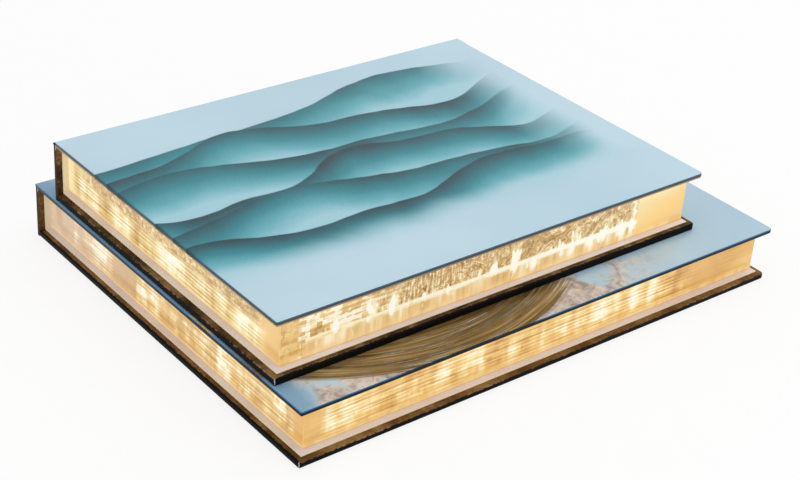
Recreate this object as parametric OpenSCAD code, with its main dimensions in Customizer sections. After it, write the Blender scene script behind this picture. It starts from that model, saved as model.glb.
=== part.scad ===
// Book lamp: two hardback volumes, one lying on the other. Each is a bookbinder's case round a
// block of clear acrylic pages that is lit from inside. Each works by itself: a battery, a charging
// socket and a rocker switch are inside its spine. The covers turn about the outer top edge of the
// spine. All sizes are millimetres. In a volume's own frame X runs from spine to fore-edge, Y from
// tail to head and Z from the back board up.

/* [Upper volume] */
// Width of the upper volume, spine to fore-edge
upper_w = 231.2; // [190:0.1:275]
// Height of the upper volume, tail to head
upper_h = 306.5; // [255:0.5:368]
// Thickness of the upper volume over both boards
upper_t = 38.6; // [32:0.1:50]
// Thickness of the upper front board with its printed paper
upper_front_t = 3.2; // [2.5:0.1:4]
// Thickness of the upper back board with its cloth
upper_back_t = 4.2; // [3.5:0.1:5]
// How far the upper spine lies in from the lower spine
upper_in_x = 23.1; // [10:0.1:45]
// How far the upper tail edge lies in from the lower one
upper_in_y = 1.2; // [0:0.1:40]
// How far the upper page block lies in from the fore-edge
upper_square_fore = 7.5; // [4:0.1:12]

/* [Lower volume] */
// Width of the lower volume, spine to fore-edge
lower_w = 279.6; // [230:0.1:335]
// Height of the lower volume, tail to head
lower_h = 350.5; // [292:0.5:421]
// Thickness of the lower volume over both boards
lower_t = 35.2; // [31:0.1:46]
// Thickness of the lower front board with its printed paper
lower_front_t = 3; // [2.5:0.1:4]
// Thickness of the lower back board with its cloth
lower_back_t = 3.8; // [3.5:0.1:5]
// How far the lower page block lies in from the fore-edge
lower_square_fore = 8; // [4:0.1:12]

/* [Case] */
// Thickness of the spine board with its cloth
spine_t = 3; // [2.5:0.1:4]
// Corner radius of the boards at the tail
tail_corner_r = 1; // [0.5:0.1:4]
// Corner radius of the boards at the head
head_corner_r = 2.4; // [0.5:0.1:4]
// Thickness of the endpapers
endpaper_t = 0.5; // [0.3:0.1:0.8]
// Thickness of the paper that lines the spine
lining_t = 0.6; // [0.4:0.1:1]
// Cloth turned in at the edges of a board, left bare by the endpaper
turn_in = 3.7; // [2:0.1:5]
// Cloth turned in at the ends of the spine
spine_turn_in = 4; // [2:0.1:6]
// Thickness of the cloth that hinges the front board
joint_cloth_t = 0.5; // [0.3:0.1:0.8]
// Width of that cloth glued to the front board
joint_lap = 8; // [5:0.5:15]
// Gap between the front board and the spine board
joint_gap = 0.3; // [0.2:0.1:1]
// Gap under the hinge cloth at the top of the spine board
cloth_gap = 0.2; // [0.1:0.1:0.4]
// Gap between the closed front cover and the page block
cover_gap = 0.3; // [0.2:0.1:1]

/* [Page block] */
// How far the page blocks lie in from the tail edge
square_tail = 7.8; // [5:0.1:12]
// How far the page blocks lie in from the head edge
square_head = 4.4; // [3:0.1:12]
// Width of the page bars at the fore-edge and the tail
bar_w = 14; // [10:0.5:18]
// Width of the solid bar at the head
head_bar_w = 30; // [20:0.5:38]
// Width of the page bar along the spine
spine_bar_w = 12; // [8:0.5:14]
// Thickness of the base plate
base_t = 2; // [1.5:0.1:3]
// Thickness of the top leaf
top_leaf_t = 2.5; // [2.2:0.1:3]
// Pitch of the page lines cut in the inner faces
page_pitch = 2.6; // [2:0.1:4]
// Width of a page line
page_line_w = 0.5; // [0.3:0.1:1]
// Depth of a page line
page_line_d = 0.6; // [0.3:0.1:1]
// Thickness of the crinkled film behind the bars
film_t = 0.3; // [0.2:0.1:0.5]
// Gap between the film and the bars
film_gap = 0.3; // [0.2:0.1:0.8]
// Distance of a film's ends from what stands beside them
film_in = 1; // [0.5:0.1:3]

/* [Posts and screws] */
// Diameter of the four posts
post_d = 8; // [7:0.5:12]
// Distance of a post's axis from the inner faces of the bars
post_in = 7; // [6.5:0.5:12]
// Thread diameter of the screws
screw_d = 3; // [2.5:0.5:3]
// Head diameter of the countersunk screws
screw_head_d = 5.6; // [5:0.1:6]
// Height of a countersunk head
screw_head_h = 1.7; // [1.4:0.1:1.9]
// Straight rim of a countersunk head
screw_rim = 0.2; // [0.1:0.05:0.3]
// Length of the cross in the screw heads
cross_l = 3.2; // [2.6:0.1:3.6]
// Width of the cross in the screw heads
cross_w = 0.7; // [0.5:0.1:1]
// Depth of the cross in the screw heads
cross_depth = 1; // [0.6:0.1:1.2]
// Length of the screws in the top leaf
top_screw_l = 8; // [6:1:10]
// Length of the screws in the back board
base_screw_l = 12; // [10:1:13]
// Radial clearance round a screw
screw_gap = 0.05; // [0.02:0.01:0.1]

/* [Light] */
// Distance of a rail's lit face from the inner face of its bar
rail_in = 11; // [10:0.5:20]
// Distance of a rail's ends from the inner faces beside it
rail_end = 22; // [18:0.5:40]
// Height of a rail
rail_h = 13; // [12:0.5:15]
// Thickness of a rail's web and foot
rail_t = 1.5; // [1:0.1:2.5]
// Width of a rail's foot
rail_foot_w = 9; // [6:0.5:14]
// Width of the LED strip
strip_w = 10; // [8:0.5:11]
// Thickness of the LED strip
strip_t = 0.5; // [0.3:0.1:0.8]
// Pitch of the LED chips
chip_pitch = 16.6; // [10:0.1:33]
// Length of a chip
chip_l = 3.5; // [2.8:0.1:5]
// Width of a chip
chip_w = 2.8; // [2:0.1:4]
// Height of a chip
chip_h = 0.8; // [0.6:0.1:1.2]

/* [Battery and board] */
// Width of the battery, across the volume
battery_w = 60; // [50:1:66]
// Length of the battery, along the volume's width
battery_l = 105; // [80:1:110]
// Distance of the battery's leads from its end by the spine
battery_lead_in = 35; // [15:1:60]
// Thickness of the battery
battery_t = 9; // [7:0.5:11]
// Wall of the battery tray
tray_wall = 1.6; // [1.2:0.1:2.5]
// Gap round the battery
battery_gap = 0.3; // [0.2:0.1:1]
// Distance of the battery from the spine bar
battery_in_x = 20; // [10:1:24]
// Distance of the battery from the tail bar
battery_in_y = 26; // [24:1:30]
// Width of the control board
pcb_w = 44; // [40:1:60]
// Length of the control board
pcb_l = 72; // [60:1:76]
// Thickness of the control board
pcb_t = 1.6; // [1:0.1:2]
// Height of the standoffs under the control board
standoff_h = 4; // [3:0.5:6]
// Diameter of the standoffs
standoff_d = 6; // [5:0.5:8]
// Distance of the standoffs from the edges of the board
standoff_in = 4; // [3.5:0.5:6]
// Diameter of the board's holes for the standoffs' pins
standoff_hole_d = 3; // [2:0.1:4]
// Height of a standoff's pin above the board
standoff_pin_h = 1; // [0.5:0.1:2]
// Distance of the control board from the spine bar
pcb_in_x = 22; // [16:1:30]
// Distance of the control board from the head bar
pcb_in_y = 26; // [24:1:32]
// Width of a plug socket on the board
header_w = 7; // [5:0.5:9]
// Length of a plug socket on the board
header_l = 10; // [8:0.5:14]
// Height of a plug socket on the board
header_h = 5; // [4:0.5:8]
// Distance of the plug sockets from the edge of the board
header_in = 1; // [0.5:0.1:2]
// Distance of the switch's plug socket from the tail end of the board
switch_header_in = 54; // [48:1:54]
// Distance of the charging socket's plug socket from the tail end of the board
socket_header_in = 18; // [15:1:30]
// Diameter of the coil on the board
coil_d = 12; // [8:0.5:14]
// Height of the coil on the board
coil_h = 4.5; // [3:0.5:7]
// Distance of the coil from the tail end of the board
coil_in = 49; // [45:1:52]
// Side of the charging chip on the board
chip_side = 8; // [5:0.5:10]
// Height of the charging chip on the board
chip_body_h = 1.2; // [0.8:0.1:2]
// Distance of the charging chip from the tail end of the board
chip_in = 21.6; // [12:0.1:28]
// Diameter of the wires
wire_d = 1.6; // [1:0.1:2]
// Distance of the two wires of a pair from their middle
wire_pair = 2; // [1.2:0.1:2.5]
// Distance of the rails' wires from the top of the rails
rail_wire_in = 3; // [1.5:0.1:5]

/* [Switch and socket] */
// Distance of the switch from the inner face of the head bar
switch_in = 44; // [36:1:56]
// Distance of the charging socket from the switch
socket_from_switch = 34; // [24:1:50]
// Length of the switch's bezel
bezel_l = 21; // [19:0.5:25]
// Width of the switch's bezel
bezel_w = 15; // [14:0.5:17]
// Thickness of the bezel, let into the spine
bezel_t = 1.2; // [0.8:0.1:1.5]
// Rim of the bezel round the housing
bezel_rim = 1.1; // [0.8:0.1:2]
// Depth of the switch housing
housing_depth = 16.5; // [14:0.5:18]
// Wall of the switch housing
housing_wall = 1.2; // [1:0.1:1.6]
// Depth of the well that the rocker turns in
well_depth = 8; // [8:0.5:10]
// Gap between the rocker and its well
rocker_gap = 0.2; // [0.1:0.05:0.4]
// Depth of the rocker's pin below the spine's face
rocker_pin_x = 2; // [1.8:0.1:2.4]
// Length of the switch's terminals
terminal_l = 5; // [4:0.5:6]
// Distance of a terminal from the middle of the switch
terminal_y = 4.5; // [3:0.5:6]
// Thickness of a terminal
terminal_t = 0.8; // [0.5:0.1:1]
// Width of a terminal
terminal_w = 4.8; // [2.8:0.1:6.3]
// Diameter of the rocker's pin
rocker_pin_d = 2; // [1.5:0.1:2.4]
// Radial clearance of the pin in the housing
pin_gap = 0.06; // [0.02:0.01:0.1]
// Height of the level rocker's ends above the spine's face
rocker_proud = 1; // [0.6:0.1:1.6]
// Tilt of the rocker to either side
rocker_tilt = 8; // [5:0.5:9]
// Depth of the rocker's full length below its pin
rocker_skirt = 1; // [0:0.1:2]
// Gap under the rocker's foot in the well
rocker_foot_gap = 2; // [2:0.1:3]
// Length of the rocker's foot
rocker_foot_l = 6; // [3:0.5:8]
// Gap round what is let into the spine
fit_gap = 0.2; // [0.1:0.05:0.4]
// Length of the charging socket's rim
socket_l = 13; // [12:0.5:16]
// Width of the charging socket's rim
socket_w = 6.5; // [6:0.1:8]
// Depth of the charging socket
socket_depth = 14; // [10:0.5:18]
// Rim of the charging socket round its body
socket_rim = 0.5; // [0.3:0.1:0.8]
// Length of the socket's slot
slot_l = 9; // [8.5:0.1:9.5]
// Width of the socket's slot
slot_w = 3.2; // [3:0.1:3.6]
// Depth of the slot
slot_depth = 6.5; // [5:0.5:8]
// Thickness of the tongue in the slot
tongue_t = 0.7; // [0.5:0.1:1]
// Distance of the tongue from the slot's ends
tongue_side = 1.2; // [1:0.1:2]
// Distance of the tongue's tip from the socket's face
tongue_in = 1.5; // [0.5:0.1:2.5]

/* [Hidden] */
$fn = 48;
eps = 0.01; // overlap of solids that are joined
cut = 1; // how far a cut runs on past what it cuts
wire_rings = 14; // rings along a wire
wire_sides = 6; // sides round a wire
lead_run = 8; // how far a wire runs on before it bends

// The volume that is being drawn is told by special variables: its width $w, height $h,
// thickness $t, board thicknesses $front_t and $back_t, and $square_fore.
module lower() {
    $w = lower_w;
    $h = lower_h;
    $t = lower_t;
    $front_t = lower_front_t;
    $back_t = lower_back_t;
    $square_fore = lower_square_fore;
    translate([-lower_w / 2, -lower_h / 2, 0]) children();
}

module upper() {
    $w = upper_w;
    $h = upper_h;
    $t = upper_t;
    $front_t = upper_front_t;
    $back_t = upper_back_t;
    $square_fore = upper_square_fore;
    translate([upper_in_x - lower_w / 2, upper_in_y - lower_h / 2, lower_t]) children();
}

// The page block's footprint and heights
function block_x0() = spine_t + lining_t;
function block_x1() = $w - $square_fore;
function block_y0() = square_tail;
function block_y1() = $h - square_head;
function block_z0() = $back_t + endpaper_t;
function block_z1() = $t - $front_t - endpaper_t - cover_gap;
// The hollow inside the page bars
function hollow_x0() = block_x0() + spine_bar_w;
function hollow_x1() = block_x1() - bar_w;
function hollow_y0() = block_y0() + bar_w;
function hollow_y1() = block_y1() - head_bar_w;
function floor_z() = block_z0() + base_t;
function roof_z() = block_z1() - top_leaf_t;
// The switch, the socket and the board
function switch_y() = hollow_y1() - switch_in;
function socket_y() = switch_y() - socket_from_switch;
function spine_z() = $t / 2;
function pcb_x() = hollow_x0() + pcb_in_x;
function pcb_y() = hollow_y1() - pcb_in_y - pcb_l;
function pcb_z() = floor_z() + standoff_h;
function battery_x() = hollow_x0() + battery_in_x;
function battery_y() = hollow_y0() + battery_in_y;
// The tray's rim ends just under the battery's leads
function tray_h() = tray_wall + battery_t / 2 - wire_d / 2 - battery_gap;
function battery_z() = floor_z() + tray_wall + battery_t / 2;
function post_xs() = [hollow_x0() + post_in, hollow_x1() - post_in];
function post_ys() = [hollow_y0() + post_in, hollow_y1() - post_in];

module box(low, high) {
    translate(low) cube(high - low);
}

// A flat plate with round corners at the fore-edge
module plate(low, high) {
    length = high.y - low.y;
    straight = length - tail_corner_r - head_corner_r;
    strip = max(tail_corner_r, head_corner_r) + eps;
    translate([0, 0, low.z]) linear_extrude(high.z - low.z) union() {
        translate([low.x, low.y]) square([high.x - low.x - tail_corner_r, length / 2 + eps]);
        translate([low.x, low.y + length / 2]) square([high.x - low.x - head_corner_r, length / 2]);
        translate([high.x - strip, low.y + tail_corner_r]) square([strip, straight]);
        translate([high.x - tail_corner_r, low.y + tail_corner_r]) circle(tail_corner_r);
        translate([high.x - head_corner_r, high.y - head_corner_r]) circle(head_corner_r);
    }
}

module at_posts() {
    for (x = post_xs(), y = post_ys()) translate([x, y, 0]) children();
}

// A countersunk screw, head up, its flat top at z = 0. With grow it is the hole for one.
module screw(length, grow = 0) {
    head_r = screw_head_d / 2 + grow;
    thread_r = screw_d / 2 + grow;
    rotate_extrude() polygon([[0, grow], [head_r, grow], [head_r, -screw_rim],
        [thread_r, -screw_head_h - grow], [thread_r, -length - grow], [0, -length - grow]]);
}

// The cross for the screwdriver, cut in a screw's head
module drive_cross() {
    for (a = [0, 90]) rotate(a) cube([cross_l, cross_w, 2 * cross_depth], center = true);
}

// What the switch and the socket need cut in the spine, from x0 to x1
module spine_cuts(x0, x1) {
    housing_l = bezel_l - 2 * bezel_rim + 2 * fit_gap;
    housing_w = bezel_w - 2 * bezel_rim + 2 * fit_gap;
    translate([x0, switch_y() - housing_l / 2, spine_z() - housing_w / 2])
        cube([x1 - x0, housing_l, housing_w]);
    translate([x0, socket_y(), spine_z()]) rotate([90, 0, 90])
        stadium(socket_l - 2 * socket_rim, socket_w - 2 * socket_rim, x1 - x0, fit_gap);
}

// A flat-sided oval bar, its length along X
module stadium(length, width, height, grow = 0) {
    r = width / 2 + grow;
    linear_extrude(height) union() {
        square([length - width, 2 * r], center = true);
        for (s = [-1, 1]) translate([s * (length - width) / 2, 0]) circle(r);
    }
}

// ---- the case -----------------------------------------------------------------------------
module back_board() {
    difference() {
        plate([spine_t, 0, 0], [$w, $h, $back_t]);
        at_posts() mirror([0, 0, 1]) screw(base_screw_l, screw_gap);
    }
}

module spine_board() {
    difference() {
        box([0, 0, 0], [spine_t, $h, $t - joint_cloth_t - cloth_gap]);
        spine_cuts(-cut, spine_t + cut);
        translate([-cut, switch_y() - bezel_l / 2 - fit_gap, spine_z() - bezel_w / 2 - fit_gap])
            cube([cut + bezel_t, bezel_l + 2 * fit_gap, bezel_w + 2 * fit_gap]);
        translate([-cut, socket_y(), spine_z()]) rotate([90, 0, 90])
            stadium(socket_l, socket_w, cut + bezel_t, fit_gap);
    }
}

module back_endpaper() {
    difference() {
        box([block_x0(), turn_in, $back_t], [$w - turn_in, $h - turn_in, block_z0()]);
        at_posts() mirror([0, 0, 1]) screw(base_screw_l, screw_gap);
    }
}

module spine_lining() {
    difference() {
        box([spine_t, spine_turn_in, $back_t], [block_x0(), $h - spine_turn_in, block_z1()]);
        spine_cuts(spine_t - cut, block_x0() + cut);
    }
}

module front_board() {
    x0 = spine_t + joint_gap;
    difference() {
        plate([x0, 0, $t - $front_t], [$w, $h, $t]);
        box([x0 - cut, -cut, $t - joint_cloth_t], [x0 + joint_lap, $h + cut, $t + cut]);
    }
}

module front_endpaper() {
    z1 = $t - $front_t;
    box([spine_t + joint_gap + turn_in, turn_in, z1 - endpaper_t], [$w - turn_in, $h - turn_in, z1]);
}

// The cloth lies over the top of the spine board and in a rebate of the front board. The cover
// turns about the cloth's outer edge.
module joint_cloth() {
    box([0, 0, $t - joint_cloth_t], [spine_t + joint_gap + joint_lap, $h, $t]);
}

// ---- the page block -----------------------------------------------------------------------
module base_plate() {
    difference() {
        box([block_x0(), block_y0(), block_z0()], [block_x1(), block_y1(), floor_z()]);
        at_posts() mirror([0, 0, 1]) screw(base_screw_l, screw_gap);
    }
}

module top_leaf() {
    difference() {
        box([block_x0(), block_y0(), roof_z()], [block_x1(), block_y1(), block_z1()]);
        at_posts() translate([0, 0, block_z1()]) screw(top_screw_l, screw_gap);
    }
}

// A page bar stands on the base plate under the top leaf. Page lines are cut in its inner face:
// low and high are the corners of the cuts' outline, on the ground.
module page_bar(low, high, cut_low, cut_high) {
    difference() {
        box([low.x, low.y, floor_z()], [high.x, high.y, roof_z()]);
        for (z = [floor_z() + page_pitch : page_pitch : roof_z() - page_pitch / 2])
            box([cut_low.x, cut_low.y, z - page_line_w / 2], [cut_high.x, cut_high.y, z + page_line_w / 2]);
    }
}

module fore_pages() {
    page_bar([hollow_x1(), block_y0()], [block_x1(), hollow_y1()],
        [hollow_x1() - cut, hollow_y0()], [hollow_x1() + page_line_d, hollow_y1() + cut]);
}

module tail_pages() {
    page_bar([hollow_x0(), block_y0()], [hollow_x1(), hollow_y0()],
        [hollow_x0() - cut, hollow_y0() - page_line_d], [hollow_x1() + cut, hollow_y0() + cut]);
}

module head_pages() {
    page_bar([block_x0(), hollow_y1()], [block_x1(), block_y1()],
        [hollow_x0(), hollow_y1() - cut], [hollow_x1(), hollow_y1() + page_line_d]);
}

module spine_pages() {
    difference() {
        box([block_x0(), block_y0(), floor_z()], [hollow_x0(), hollow_y1(), roof_z()]);
        spine_cuts(block_x0() - cut, hollow_x0() + cut);
    }
}

// Crinkled clear film stands behind the fore-edge, tail and head bars
module crinkle_film() {
    x = hollow_x1() - film_gap;
    box([x - film_t, hollow_y0() + film_in, floor_z()], [x, hollow_y1() - film_in, roof_z()]);
    for (y = [hollow_y0() + film_gap, hollow_y1() - film_gap - film_t])
        box([hollow_x0() + film_in, y, floor_z()], [x - film_t - film_in, y + film_t, roof_z()]);
}

module posts() {
    at_posts() difference() {
        translate([0, 0, floor_z()]) cylinder(h = roof_z() - floor_z(), d = post_d);
        translate([0, 0, block_z1()]) screw(top_screw_l, screw_gap);
        mirror([0, 0, 1]) screw(base_screw_l, screw_gap);
    }
}

module top_screws() {
    at_posts() translate([0, 0, block_z1()]) difference() {
        screw(top_screw_l);
        drive_cross();
    }
}

module base_screws() {
    at_posts() mirror([0, 0, 1]) difference() {
        screw(base_screw_l);
        drive_cross();
    }
}

// ---- the light ----------------------------------------------------------------------------
function rail_length(along_x) =
    (along_x ? hollow_x1() - hollow_x0() : hollow_y1() - hollow_y0()) - 2 * rail_end;

// The three rails' places: each child is drawn along X from x = 0, its lit face at y = 0
// towards -Y, standing on z = 0
module at_rails() {
    translate([hollow_x0() + rail_end, hollow_y0() + rail_in, floor_z()]) {
        $rail_l = rail_length(true);
        children();
    }
    translate([hollow_x1() - rail_end, hollow_y1() - rail_in, floor_z()]) rotate(180) {
        $rail_l = rail_length(true);
        children();
    }
    translate([hollow_x1() - rail_in, hollow_y0() + rail_end, floor_z()]) rotate(90) {
        $rail_l = rail_length(false);
        children();
    }
}

module led_rails() {
    at_rails() rotate([90, 0, 90]) linear_extrude($rail_l)
        polygon([[0, 0], [rail_foot_w, 0], [rail_foot_w, rail_t], [rail_t, rail_t], [rail_t, rail_h],
            [0, rail_h]]);
}

module led_strips() {
    z = (rail_h - strip_w) / 2;
    at_rails() box([0, -strip_t, z], [$rail_l, 0, z + strip_w]);
}

module led_chips() {
    at_rails() {
        count = floor(($rail_l - chip_l) / chip_pitch) + 1;
        first = ($rail_l - (count - 1) * chip_pitch) / 2;
        for (i = [0 : count - 1])
            translate([first + i * chip_pitch, -strip_t - chip_h / 2, rail_h / 2])
                cube([chip_l, chip_h, chip_w], center = true);
    }
}

// ---- battery, board and wires -------------------------------------------------------------
module battery_tray() {
    rim = tray_wall + battery_gap;
    translate([battery_x(), battery_y(), floor_z()]) difference() {
        box([-rim, -rim, 0], [battery_l + rim, battery_w + rim, tray_h()]);
        box([-battery_gap, -battery_gap, tray_wall],
            [battery_l + battery_gap, battery_w + battery_gap, tray_h() + cut]);
    }
}

module battery() {
    translate([battery_x(), battery_y(), battery_z()]) rotate([90, 0, 90])
        linear_extrude(battery_l) union() {
            translate([battery_t / 2, -battery_t / 2]) square([battery_w - battery_t, battery_t]);
            for (y = [battery_t / 2, battery_w - battery_t / 2]) translate([y, 0]) circle(battery_t / 2);
        }
}

module at_standoffs() {
    for (x = [standoff_in, pcb_w - standoff_in], y = [standoff_in, pcb_l - standoff_in])
        translate([pcb_x() + x, pcb_y() + y, floor_z()]) children();
}

module standoffs() {
    at_standoffs() {
        cylinder(h = standoff_h, d = standoff_d);
        cylinder(h = standoff_h + pcb_t + standoff_pin_h, d = standoff_hole_d - 2 * fit_gap);
    }
}

module control_board() {
    difference() {
        box([pcb_x(), pcb_y(), pcb_z()], [pcb_x() + pcb_w, pcb_y() + pcb_l, pcb_z() + pcb_t]);
        at_standoffs() cylinder(h = standoff_h + pcb_t + cut, d = standoff_hole_d);
    }
}

// A coil, a charging chip and four plug sockets for the wires
module board_parts() {
    translate([pcb_x(), pcb_y(), pcb_z() + pcb_t]) {
        translate([pcb_w / 2, coil_in, 0]) cylinder(h = coil_h, d = coil_d);
        translate([(pcb_w - chip_side) / 2, chip_in, 0]) cube([chip_side, chip_side, chip_body_h]);
        for (y = [switch_header_in, socket_header_in])
            translate([header_in, y - header_l / 2, 0]) cube([header_w, header_l, header_h]);
        translate([pcb_w - header_in - header_w, (pcb_l - header_l) / 2, 0])
            cube([header_w, header_l, header_h]);
        translate([(pcb_w - header_l) / 2, header_in, 0]) cube([header_l, header_w, header_h]);
    }
}

function header_z() = pcb_z() + pcb_t + header_h / 2;

// A point of the curve that leaves a towards a2 and comes to b from b2
function bend(a, a2, b2, b, t) = a * pow(1 - t, 3) + a2 * 3 * t * pow(1 - t, 2)
    + b2 * 3 * t * t * (1 - t) + b * pow(t, 3);

module wire(a, a2, b2, b) {
    spine = [for (i = [0 : wire_rings]) bend(a, a2, b2, b, i / wire_rings)];
    rings = [for (i = [0 : wire_rings])
        let (tangent = spine[min(i + 1, wire_rings)] - spine[max(i - 1, 0)],
            side = cross(tangent, [0, 0, 1]) / norm(cross(tangent, [0, 0, 1])),
            rise = cross(side, tangent) / norm(tangent))
        for (k = [0 : wire_sides - 1])
            spine[i] + wire_d / 2 * (side * cos(k * 360 / wire_sides) + rise * sin(k * 360 / wire_sides))];
    sides = [for (i = [0 : wire_rings - 1], k = [0 : wire_sides - 1])
        let (p = i * wire_sides, q = p + wire_sides, n = (k + 1) % wire_sides)
        [p + k, p + n, q + n, q + k]];
    first = [for (k = [wire_sides - 1 : -1 : 0]) k];
    last = [for (k = [0 : wire_sides - 1]) wire_rings * wire_sides + k];
    polyhedron(rings, concat([first, last], sides));
}

// Two leads from the switch, two from the socket and two from the battery go to the board. Two
// go from the board to the fore-edge rail, and a jumper joins it to each of the other rails.
module wires() {
    board_x = pcb_x() + header_in;
    feed_x = pcb_x() + pcb_w - header_in;
    feed_y = pcb_y() + pcb_l / 2;
    rail_x = hollow_x1() - rail_in - rail_t;
    terminal_x = housing_depth + terminal_l;
    for (s = [-1, 1]) {
        off = s * wire_pair;
        lead([terminal_x, switch_y() + s * terminal_y, spine_z()], [1, 0],
            [board_x, pcb_y() + switch_header_in + off, header_z()], [-1, 0]);
        lead([socket_depth, socket_y() + off, spine_z()], [1, 0],
            [board_x, pcb_y() + socket_header_in + off, header_z()], [-1, 0]);
        lead([battery_x() + battery_lead_in + off, battery_y() + battery_w, battery_z()], [0, 1],
            [pcb_x() + pcb_w / 2 + off, pcb_y() + header_in, header_z()], [0, -1]);
        lead([feed_x, feed_y + off, header_z()], [1, 0], [rail_x, feed_y + off, rail_wire_z()], [-1, 0]);
    }
    back = rail_in + rail_t + wire_d;
    for (end = [[hollow_y0() + back, hollow_y0() + rail_end, -1],
            [hollow_y1() - back, hollow_y1() - rail_end, 1]])
        lead([hollow_x1() - rail_end, end[0], rail_wire_z()], [1, 0],
            [rail_x - wire_d, end[1], rail_wire_z()], [0, end[2]]);
}

function rail_wire_z() = floor_z() + rail_h - rail_wire_in;

// A wire from a to b, which leaves each along its own direction on the ground
module lead(a, a_way, b, b_way) {
    wire(a, a + lead_run * [a_way.x, a_way.y, 0], b + lead_run * [b_way.x, b_way.y, 0], b);
}

// ---- the switch and the socket ------------------------------------------------------------
module switch_body() {
    housing_l = bezel_l - 2 * bezel_rim;
    housing_w = bezel_w - 2 * bezel_rim;
    well_l = housing_l - 2 * housing_wall;
    well_w = housing_w - 2 * housing_wall;
    translate([0, switch_y(), spine_z()]) {
        difference() {
            union() {
                box([0, -bezel_l / 2, -bezel_w / 2], [bezel_t, bezel_l / 2, bezel_w / 2]);
                box([bezel_t - eps, -housing_l / 2, -housing_w / 2],
                    [housing_depth, housing_l / 2, housing_w / 2]);
            }
            box([-cut, -well_l / 2, -well_w / 2], [well_depth, well_l / 2, well_w / 2]);
            translate([rocker_pin_x, 0, -bezel_w]) cylinder(h = 2 * bezel_w, r = rocker_pin_d / 2 + pin_gap);
        }
        for (s = [-1, 1])
            box([housing_depth - eps, s * terminal_y - terminal_t / 2, -terminal_w / 2],
                [housing_depth + terminal_l, s * terminal_y + terminal_t / 2, terminal_w / 2]);
    }
}

// The rocker, tilted as it lies when the lamp is on. Its ends are round about the pin.
module switch_rocker() {
    housing_w = bezel_w - 2 * bezel_rim;
    end_r = bezel_l / 2 - bezel_rim - housing_wall - rocker_gap;
    rocker_w = housing_w - 2 * housing_wall - 2 * rocker_gap;
    dip = end_r * tan(rocker_tilt);
    top = -rocker_pin_x - rocker_proud;
    foot = well_depth - rocker_pin_x - rocker_foot_gap;
    translate([rocker_pin_x, switch_y(), spine_z()]) rotate(rocker_tilt) {
        translate([0, 0, -rocker_w / 2]) linear_extrude(rocker_w) intersection() {
            circle(end_r);
            polygon([[top, -end_r], [top + dip, 0], [top, end_r], [rocker_skirt, end_r],
                [foot, rocker_foot_l / 2], [foot, -rocker_foot_l / 2], [rocker_skirt, -end_r]]);
        }
        translate([0, 0, -housing_w / 2]) cylinder(h = housing_w, d = rocker_pin_d);
    }
}

module charge_socket() {
    translate([0, socket_y(), spine_z()]) rotate([90, 0, 90]) {
        difference() {
            union() {
                stadium(socket_l, socket_w, bezel_t);
                stadium(socket_l - 2 * socket_rim, socket_w - 2 * socket_rim, socket_depth);
            }
            translate([0, 0, -cut]) stadium(slot_l, slot_w, slot_depth + cut);
        }
        translate([-slot_l / 2 + tongue_side, -tongue_t / 2, tongue_in])
            cube([slot_l - 2 * tongue_side, tongue_t, slot_depth - tongue_in + eps]);
    }
}

// ---- the named pieces ---------------------------------------------------------------------
module lower_back_board() color("#17130f") lower() back_board();
module lower_spine_board() color("#1a1512") lower() spine_board();
module lower_back_endpaper() color("#e6cfc8") lower() back_endpaper();
module lower_spine_lining() color("#e6cfc8") lower() spine_lining();
module lower_base_plate() color("white") lower() base_plate();
module lower_fore_pages() color("#f2c878") lower() fore_pages();
module lower_tail_pages() color("#f0c272") lower() tail_pages();
module lower_head_pages() color("#f4cd82") lower() head_pages();
module lower_spine_pages() color("#ecbd70") lower() spine_pages();
module lower_crinkle_film() color("#fff0c8") lower() crinkle_film();
module lower_top_leaf() color("#fbf1dc") lower() top_leaf();
module lower_posts() color("silver") lower() posts();
module lower_top_screws() color("silver") lower() top_screws();
module lower_base_screws() color("dimgray") lower() base_screws();
module lower_led_rails() color("lightgray") lower() led_rails();
module lower_led_strips() color("ivory") lower() led_strips();
module lower_led_chips() color("#ffe27a") lower() led_chips();
module lower_battery_tray() color("#3a3a3a") lower() battery_tray();
module lower_battery() color("#3f6f9f") lower() battery();
module lower_control_board() color("#1f6b3a") lower() control_board();
module lower_standoffs() color("white") lower() standoffs();
module lower_board_parts() color("#2b2b2b") lower() board_parts();
module lower_charge_socket() color("#8c9094") lower() charge_socket();
module lower_switch_body() color("#202020") lower() switch_body();
module lower_switch_rocker() color("#303030") lower() switch_rocker();
module lower_wires() color("#b03028") lower() wires();
module lower_front_board() color("#acc9de") lower() front_board();
module lower_front_endpaper() color("#e6cfc8") lower() front_endpaper();
module lower_joint_cloth() color("#17130f") lower() joint_cloth();
module upper_back_board() color("#17130f") upper() back_board();
module upper_spine_board() color("#1a1512") upper() spine_board();
module upper_back_endpaper() color("#e6cfc8") upper() back_endpaper();
module upper_spine_lining() color("#e6cfc8") upper() spine_lining();
module upper_base_plate() color("white") upper() base_plate();
module upper_fore_pages() color("#f2c878") upper() fore_pages();
module upper_tail_pages() color("#f0c272") upper() tail_pages();
module upper_head_pages() color("#f4cd82") upper() head_pages();
module upper_spine_pages() color("#ecbd70") upper() spine_pages();
module upper_crinkle_film() color("#fff0c8") upper() crinkle_film();
module upper_top_leaf() color("#fbf1dc") upper() top_leaf();
module upper_posts() color("silver") upper() posts();
module upper_top_screws() color("silver") upper() top_screws();
module upper_base_screws() color("dimgray") upper() base_screws();
module upper_led_rails() color("lightgray") upper() led_rails();
module upper_led_strips() color("ivory") upper() led_strips();
module upper_led_chips() color("#ffe27a") upper() led_chips();
module upper_battery_tray() color("#3a3a3a") upper() battery_tray();
module upper_battery() color("#3f6f9f") upper() battery();
module upper_control_board() color("#1f6b3a") upper() control_board();
module upper_standoffs() color("white") upper() standoffs();
module upper_board_parts() color("#2b2b2b") upper() board_parts();
module upper_charge_socket() color("#8c9094") upper() charge_socket();
module upper_switch_body() color("#202020") upper() switch_body();
module upper_switch_rocker() color("#303030") upper() switch_rocker();
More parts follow.
